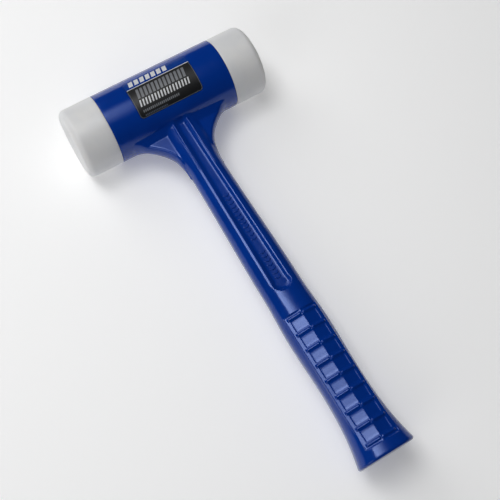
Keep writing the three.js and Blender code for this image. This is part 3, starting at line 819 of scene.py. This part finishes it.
def jacket_shell(shell):
    """A sleeve: outside with the label's seat sunk in, rounded ends, and the canister's bore."""
    edge_deg = math.degrees(1 / HEAD_R)
    angles = spaced(
        -180.0, (LABEL_FROM - edge_deg, 42), (LABEL_FROM + 4 * edge_deg, 30),
        (LABEL_TO - 4 * edge_deg, 18), (LABEL_TO + edge_deg, 30), (180.0, 42))[:-1]
    x_right = spaced(0.0, (LABEL_HALF - 4, 12), (LABEL_HALF + 1, 30), (JACKET_HALF - 1.0, 14))
    x_all = np.concatenate([-x_right[:0:-1], x_right])
    x, angle = np.meshgrid(x_all, angles, indexing="ij")
    seat = smooth(-SEAT_GAP - SEAT_SOFTNESS, -SEAT_GAP + SEAT_SOFTNESS, label_inside(x, angle))
    r = HEAD_R - (LABEL_DEPTH + 0.05) * seat
    outer = wrap_round(x, angle, r)
    bore = TUBE_R + FIT
    end = arc(JACKET_HALF - JACKET_EDGE_R, HEAD_R - JACKET_EDGE_R, JACKET_EDGE_R, 90, 0, 5)
    inner_end = [(JACKET_HALF, bore + 0.5), (JACKET_HALF - 0.5, bore)]
    profile_right = end + inner_end
    inside = [(v, bore) for v in np.linspace(JACKET_HALF - 4, -JACKET_HALF + 4, 9)]
    profile = profile_right + inside + [(-px, pr) for px, pr in reversed(profile_right)]
    px, pr = np.array(profile).T
    gx, ga = np.meshgrid(px, angles, indexing="ij")
    rest = wrap_round(gx, ga, np.repeat(pr[:, None], len(angles), axis=1))
    shell.loop(np.concatenate([outer, rest]))


def wrap_round(x, angle_deg, r):
    """Points at x and an angle round the head from +Z towards the handle."""
    a = np.radians(angle_deg)
    return np.stack([x, r * np.sin(a), r * np.cos(a)], axis=-1)


def label_point(x, down, r):
    """Points on the label: x, a distance down it from its top edge, and a radius about the axis."""
    return wrap_round(x, LABEL_FROM + np.degrees(down / HEAD_R), np.broadcast_to(r, np.shape(x)))


CORNER_TURN = np.radians(np.linspace(0, 90, 9))


def film_shell(shell, down):
    """A stretch of the film: rows across it, each as wide as the round corners leave it there."""
    into_corner = np.clip(LABEL_CORNER - np.minimum(down, LABEL_LENGTH - down), 0, LABEL_CORNER)
    half = LABEL_HALF - (LABEL_CORNER - np.sqrt(LABEL_CORNER ** 2 - into_corner ** 2))
    x = half[:, None] * np.linspace(-1, 1, 41)[None, :]
    rows = down[:, None] + 0 * x
    shell.slab(label_point(x, rows, FILM_TOP), label_point(x, rows, HEAD_R - LABEL_DEPTH))


def printed_bar(shell, left, right, from_deg, to_deg, slant=0.0):
    """A printed bar: an ink film on the label from left to right and between two angles round the
    head; slant is how far its upper edge leans along x."""
    way = np.linspace(0, 1, 5)[:, None]
    x = left + (right - left) * np.linspace(0, 1, 3)[None, :] + slant * (1 - way)
    down = np.radians(blend(from_deg, to_deg, way) - LABEL_FROM) * HEAD_R + 0 * x
    shell.slab(label_point(x, down, INK_TOP), label_point(x, down, INK_BOTTOM))


def bar_row(shell, left, right, from_deg, to_deg, width, gap, slant):
    """Slanted bars of about one width, as many as fill a row from left to right."""
    count = int(round((right - left - abs(slant) + gap) / (width + gap)))
    pitch = (right - left - abs(slant) + gap) / count
    for i in range(count):
        at = left + i * pitch
        printed_bar(shell, at, at + pitch - gap, from_deg, to_deg, slant)


def edge_glint_line(shell, inset, width):
    """A thin light line down both sides of the black field and round its lower corners: a painted highlight
    that stands for the glint along the film's edge, drawn in the faint ink.
    """
    corner_x = LABEL_HALF - LABEL_CORNER
    corner_down = LABEL_LENGTH - LABEL_CORNER
    side = np.linspace(SEAM_DOWN + 0.6, corner_down, 21)[:-1]
    bottom_x = np.linspace(corner_x, -corner_x, 12)[1:-1]
    edges = []
    for inside in (inset + width, inset):
        r = LABEL_CORNER - inside
        right_x = np.concatenate([0 * side + LABEL_HALF - inside, corner_x + r * np.cos(CORNER_TURN)])
        right_down = np.concatenate([side, corner_down + r * np.sin(CORNER_TURN)])
        bottom_down = 0 * bottom_x + LABEL_LENGTH - inside
        x = np.concatenate([right_x, bottom_x, -right_x[::-1]])
        edges.append((x, np.concatenate([right_down, bottom_down, right_down[::-1]])))
    x, down = (np.stack(pair, axis=1) for pair in zip(*edges))
    shell.slab(label_point(x, down, INK_TOP), label_point(x, down, INK_BOTTOM))


def header_film():
    """The film's blue top, from its upper edge with two round corners to the seam."""
    shell = Shell()
    corner = LABEL_CORNER * (1 - np.cos(CORNER_TURN))
    film_shell(shell, np.concatenate([corner, np.linspace(LABEL_CORNER, SEAM_DOWN, 8)[1:]]))
    return shell


def field_film():
    """The film's black field, from the seam to its lower edge with two round corners."""
    shell = Shell()
    straight_end = LABEL_LENGTH - LABEL_CORNER
    corner = straight_end + LABEL_CORNER * np.sin(CORNER_TURN[1:])
    film_shell(shell, np.concatenate([np.linspace(SEAM_DOWN, straight_end, 18), corner]))
    return shell


# rows of bars: left, right, upper and lower edge in degrees, a bar's width, gap and slant
SEAM_LINE = (0.6 - LABEL_HALF, LABEL_HALF - 0.1, LABEL_SEAM - 0.45, LABEL_SEAM + 0.65, 2 * LABEL_HALF, 0, 0)
HEADER_BLOCKS = (-24.6, 11.0, -30.5, -18.2, 3.3, 1.5, 1.2)
TALL_BARS = (-23.2, 21.8, -8.8, 7.6, 2.1, 1.3, 1.5)
NARROW_BARS = (-24.4, 21.5, 10.2, 20.8, 1.15, 1.5, 1.1)
SHORT_BARS = (-24.4, 8.4, 26.2, 30.2, 1.0, 0.7, 0.3)
TINY_BARS = (-24.0, -4.0, 33.6, 35.8, 0.8, 0.7, 0.2)


def bar_rows(*rows):
    """Rows of bars in one ink."""
    shell = Shell()
    for row in rows:
        bar_row(shell, *row)
    return shell


# ---- marks moulded in the recess
MARK_RUNS = ((HEAD_R + 73.5, 12), (HEAD_R + 129.5, 7))  # first mark's depth, and how many
MARK_PITCH = 3.9
MARK_HALF = 2.9
MARK_RISE = 0.5
MARK_ARM_HALF = 0.55
MARK_POINT = 1.5  # how far the point lies below the arms' ends
MARK_ALONG = np.array([-1.0, -0.94, -0.8, -0.4, 0.0, 0.4, 0.8, 0.94, 1.0])
MARK_SIZE = np.array([0.35, 0.8, 1.0, 1.0, 1.0, 1.0, 1.0, 0.8, 0.35])


def chevron_shell(shell, depth, front):
    """A low V across the recess's floor, pointing down the handle: an ellipse carried along two
    straight arms, which shrinks at their ends."""
    x = MARK_HALF * MARK_ALONG
    middle = depth + MARK_POINT * (1 - np.abs(MARK_ALONG))
    w, t, n = column_section(middle, FAR)
    rim = rim_half(middle)
    floor = t * (1 - (rim / w) ** n) ** (1 / n) - RECESS_DEPTH
    turn = full_turn(10)
    rings = np.stack([
        x[:, None] + 0 * turn,
        middle[:, None] + MARK_ARM_HALF * MARK_SIZE[:, None] * np.cos(turn),
        floor[:, None] + MARK_RISE * MARK_SIZE[:, None] * np.sin(turn)], axis=-1)
    shell.tube(rings * [1, 1, front], flip=front > 0)


# ---- screw threads, caps, faces
PITCH = 2.5
CREST_R = 9.7
ROOT_R = 8.4
CREST_SHARE = 0.10  # half the flat crest's share of a pitch
FLANK_SHARE = 0.28  # one flank's share of a pitch
THREAD_SIDES = 72
ROWS_PER_PITCH = 12
SHANK_R = CREST_R - 0.3
STUD_FLANGE_R = 14.0
STUD_FLANGE_FROM = 4.2  # behind the nylon's back
STUD_FLANGE = 4.0
CHAMFER = 0.5
CAP_FACE = cap_high[0]
CAP_INNER = cap_low[0]
STUD_TIP = stud_low[0]
STUD_END = stud_high[0]
FACE_BACK = JACKET_HALF + 0.06
PLUG_R = TUBE_R - 3.0 - FIT
FLANGE_X = CAP_FACE - 2.9
SEAL_X = FLANGE_X - 5.3
SEAL_SECTION_R = 1.0
GROOVE_HALF = 1.15
GROOVE_R = 19.5
FACE_RIM_R = 5.5  # rounding of a striking face's rim
FACE_BACK_R = 0.5


def thread_radius(x, turn, grow):
    """Radius of a right-hand thread: the phase x / pitch - turn runs over a flat crest, a straight
    flank, a flat root and a straight flank."""
    phase = np.abs((x / PITCH - turn + 0.5) % 1.0 - 0.5)
    flank = np.clip((phase - CREST_SHARE) / FLANK_SHARE, 0.0, 1.0)
    return CREST_R + grow - (CREST_R - ROOT_R) * flank


def thread_rings(x0, x1, grow, side):
    """A thread from x0 to x1 as rings about the head's axis. A stud's thread, which has no grow, runs
    out to its root at the tip. The turn goes from away from the handle towards +Z."""
    rows = int(round(abs(x1 - x0) / PITCH * ROWS_PER_PITCH)) + 1
    x = np.linspace(x0, x1, rows)
    turn = np.arange(THREAD_SIDES) / THREAD_SIDES
    gx, gt = np.meshgrid(x, turn, indexing="ij")
    r = thread_radius(gx, gt, grow)
    if grow == 0:
        r = np.minimum(r, ROOT_R + np.clip(gx - x.min() + 0.1, 0, None))
    a = 2 * np.pi * gt
    return np.stack([side * gx, -side * r * np.cos(a), r * np.sin(a)], axis=-1)


def plain_rings(profile, side):
    """Turned rings with the same start and direction of turn as the thread's."""
    x, r = np.asarray(profile, float).T
    a = 2 * np.pi * np.arange(THREAD_SIDES) / THREAD_SIDES
    return np.stack([
        np.repeat(side * x[:, None], THREAD_SIDES, axis=1),
        -side * r[:, None] * np.cos(a), r[:, None] * np.sin(a)], axis=-1)


def stud_shell(side):
    """The stud from its tip: a thread, a plain shank, a chamfered flange that the nylon is moulded
    round, and the shank's chamfered end."""
    shell = Shell()
    near = FACE_BACK + STUD_FLANGE_FROM
    far = near + STUD_FLANGE
    anchor = [
        (near - 0.2, SHANK_R), (near, STUD_FLANGE_R - CHAMFER), (near + CHAMFER, STUD_FLANGE_R),
        (far - CHAMFER, STUD_FLANGE_R), (far, STUD_FLANGE_R - CHAMFER), (far + 0.1, SHANK_R),
        (STUD_END - 1.0, SHANK_R), (STUD_END, SHANK_R - 1.0), (STUD_END, 1.0),
    ]
    shell.tube(np.concatenate([
        plain_rings([(STUD_TIP, 2.0), (STUD_TIP, ROOT_R - 0.5)], side),
        thread_rings(STUD_TIP + 0.1, CAP_FACE + 0.6, 0.0, side),
        plain_rings([(CAP_FACE + 1.0, SHANK_R)] + anchor, side),
    ]))
    return shell


def cap_shell(side):
    """A cup: from the inner end's middle out over the plug, the seal's groove, the flange and the
    front, then down the tapped hole to its bottom."""
    shell = Shell()
    groove_from = SEAL_X - GROOVE_HALF
    groove_to = SEAL_X + GROOVE_HALF
    outside = [
        (CAP_INNER, 1.0), (CAP_INNER, PLUG_R - 1.0), (CAP_INNER + 1.0, PLUG_R), (groove_from, PLUG_R),
        (groove_from, GROOVE_R), (groove_to, GROOVE_R), (groove_to, PLUG_R), (FLANGE_X, PLUG_R),
        (FLANGE_X, TUBE_R - 0.4), (FLANGE_X + 0.4, TUBE_R), (CAP_FACE - CHAMFER, TUBE_R),
        (CAP_FACE, TUBE_R - CHAMFER), (CAP_FACE, 18.0), (CAP_FACE, CREST_R + 1.0),
        (CAP_FACE - 0.8, CREST_R + 0.15),
    ]
    bore = thread_rings(STUD_TIP - 0.2, CAP_FACE - 0.9, 0.1, side)[::-1]
    bottom = [(STUD_TIP - 0.25, ROOT_R), (STUD_TIP - 0.25, 1.0)]
    shell.tube(np.concatenate([plain_rings(outside, side), bore, plain_rings(bottom, side)]))
    return shell


def washer_shell(side):
    """A flat ring between cap and face: a rectangle with four chamfers, carried round the axis."""
    shell = Shell()
    x0, x1 = CAP_FACE + 0.1, JACKET_HALF - 0.02
    outer, inner, c = TUBE_R - 0.4, CREST_R + 0.7, 0.3
    profile = [
        (x0, inner + c), (x0, outer - c), (x0 + c, outer), (x1 - c, outer), (x1, outer - c),
        (x1, inner + c), (x1 - c, inner), (x0 + c, inner),
    ]
    shell.loop(plain_rings(profile, side))
    return shell


def face_shell(side):
    """The nylon face: flush side, rounded rim, flat striking middle with a faint centre mark, and a
    hole at the back for the stud."""
    shell = Shell()
    hole = SHANK_R + 0.03
    floor = FACE_BACK + 3.9
    round_from = HEAD_HALF - FACE_RIM_R
    profile = [(floor, 1.0), (floor, hole - 0.2), (floor - 0.2, hole), (FACE_BACK + 0.6, hole)]
    profile += [(FACE_BACK, hole + 0.6), (FACE_BACK, 18.0), (FACE_BACK, HEAD_R - FACE_BACK_R)]
    profile += arc(FACE_BACK + FACE_BACK_R, HEAD_R - FACE_BACK_R, FACE_BACK_R, 180, 90, 4)[1:]
    profile += [(x, HEAD_R) for x in np.linspace(FACE_BACK + 4, round_from, 8)]
    profile += arc(round_from, HEAD_R - FACE_RIM_R, FACE_RIM_R, 90, 0, 14)[1:]
    profile += [(HEAD_HALF, r) for r in np.linspace(21, 1.6, 9)]
    profile += [(HEAD_HALF - 0.15, 1.3), (HEAD_HALF - 0.25, 0.6)]
    shell.tube(turned_rings(profile, 144, side), flip=True)
    return shell


def seal_shell(side):
    """An O-ring in the cap's groove: a circle carried round the head's axis."""
    shell = Shell()
    turn = full_turn(16)
    x = SEAL_X + SEAL_SECTION_R * np.cos(turn)
    r = PLUG_R - SEAL_SECTION_R + SEAL_SECTION_R * np.sin(turn)
    shell.loop(plain_rings(np.stack([x, r], axis=1), side), flip=True)
    return shell


# ---- the shot
SHOT_R = 2.5
SHOT_SPACING = 2 * SHOT_R + 0.12
SHOT_LAYERS = 13  # more layers, rows and places than the canister holds
SHOT_BOTTOM = 0.7  # room below the lowest layer
BALL_SIDES = 8
BALL_RINGS_DEG = (-54, -18, 18, 54)


def shot_shell():
    """Steel balls in closest packing, lying in the canister's lower part: rows across it, each
    layer set in the hollows of the one below, and shaken a little out of line."""
    shell = Shell()
    steps = np.arange(SHOT_LAYERS) - SHOT_LAYERS // 2
    level, row, place_in_row = np.meshgrid(steps, steps, steps, indexing="ij")
    layer_height = SHOT_SPACING * math.sqrt(2 / 3)
    x = (place_in_row + 0.5 * ((row + level) % 2)) * SHOT_SPACING
    d = (row + (level % 2) / 3) * SHOT_SPACING * math.sqrt(3) / 2
    z = (level + 5) * layer_height + shot_low[2] - HEAD_Z + SHOT_R + SHOT_BOTTOM
    inside = np.hypot(d, z) < PLUG_R - SHOT_R
    inside &= (np.abs(x) < shot_high[0] - SHOT_R) & (z < shot_high[2] - HEAD_Z - SHOT_R)
    centres = np.stack([x, d, z], axis=-1)[inside]
    centres = centres + np.random.default_rng(7).uniform(-0.05, 0.05, centres.shape)
    rise = np.radians(BALL_RINGS_DEG)
    turn = full_turn(BALL_SIDES)
    rings = SHOT_R * np.stack([
        np.outer(np.cos(rise), np.cos(turn)), np.outer(np.cos(rise), np.sin(turn)),
        np.outer(np.sin(rise), np.ones(BALL_SIDES))], axis=-1)
    ball = Shell()
    ball.tube(rings, flip=True)
    points = ball.points[0]
    points[-2:] = [[0, 0, -SHOT_R], [0, 0, SHOT_R]]
    for centre in centres:
        shell.copy(ball, centre)
    return shell


# ---- build: camera and studio
add_camera()
add_studio()

# ---- build: the moulding
blue = blue_polyurethane()
moulding = Shell()
jacket_shell(moulding)
handle_shell(moulding)
for across in (1, -1):
    for front in (1, -1):
        ridge_shell(moulding, across, front)
make_piece("body_moulding_surface", moulding, blue, "body", ["body_moulding"])

marks = Shell()
for first, count in MARK_RUNS:
    for i in range(count):
        for front in (1, -1):
            chevron_shell(marks, first + i * MARK_PITCH, front)
make_piece("moulded_chevrons", marks, blue, "body")

# ---- build: the label
faint_print_and_edge_glint = bar_rows(TINY_BARS)
# the field's border line is a painted highlight: a light line for the glint along the film's edge
edge_glint_line(faint_print_and_edge_glint, 0.35, 0.4)
for name, shell, film, replaced in (
    ("label_field", field_film(), printed_film("polyester_film_black", "#111214"), ["label"]),
    ("label_header", header_film(), printed_film("polyester_film_blue", "#04388A", 0.25), []),
    ("label_print_white", bar_rows(SEAM_LINE, HEADER_BLOCKS, NARROW_BARS),
     printed_film("screen_ink_white", "#D5D7DA", 0.45), []),
    ("label_print_grey", bar_rows(TALL_BARS, SHORT_BARS),
     printed_film("screen_ink_grey", "#76797E", 0.45), []),
    # the faint ink carries the small bars and the painted highlight line along the field's border
    ("label_print_and_edge_glint", faint_print_and_edge_glint, printed_film("screen_ink_and_edge_glint_slate", "#5B6370", 0.4), []),
):
    make_piece(name, shell, film, "body", replaced)

# ---- build: faces and hardware
nylon = white_nylon()
zinc = steel("zinc_plated_steel", "#B9BCC0", 0.28, 0.4)
for end, side in (("right", 1.0), ("left", -1.0)):
    unit = f"face_{end}_unit"
    rubber = dull_rubber("nitrile_rubber", "#141414")
    for name, shell, finish, body, slot, replaced in (
        ("nylon_face", face_shell(side), nylon, unit, "nylon", "face"),
        ("threaded_stud", stud_shell(side), zinc, unit, "turned_steel", "face_stud"),
        ("tapped_cap", cap_shell(side), zinc, "body", "turned_steel", "canister_cap"),
        ("washer", washer_shell(side), zinc, f"washer_{end}", "turned_steel", "face_washer"),
        ("seal_ring", seal_shell(side), rubber, "body", "seal_rubber", "cap_seal"),
    ):
        make_piece(f"{name}_{end}", shell, finish, body, [f"{replaced}_{end}"])

shot_steel = steel("cast_steel_shot", "#85878B", 0.42, 1.0)
make_piece("steel_shot", shot_shell(), shot_steel, "shot", ["shot_charge"])

# ---- build: finishes on the CAD pieces
drawn_tube = steel("drawn_steel_tube", "#8A8D91", 0.38, 0.5)
turned_pin = steel("turned_steel_pin", "#9A9DA1", 0.3, 0.3)
plain_plug = dull_rubber("moulded_polyethylene_black", "#1B1B1C", 0.5)
for name, finish in (
    ("canister_tube", drawn_tube), ("handle_core", drawn_tube), ("core_saddle", drawn_tube),
    ("core_pin_upper", turned_pin), ("core_pin_lower", turned_pin), ("core_end_plug", plain_plug),
):
    for holder in nodes[name].material_slots:
        holder.material = finish
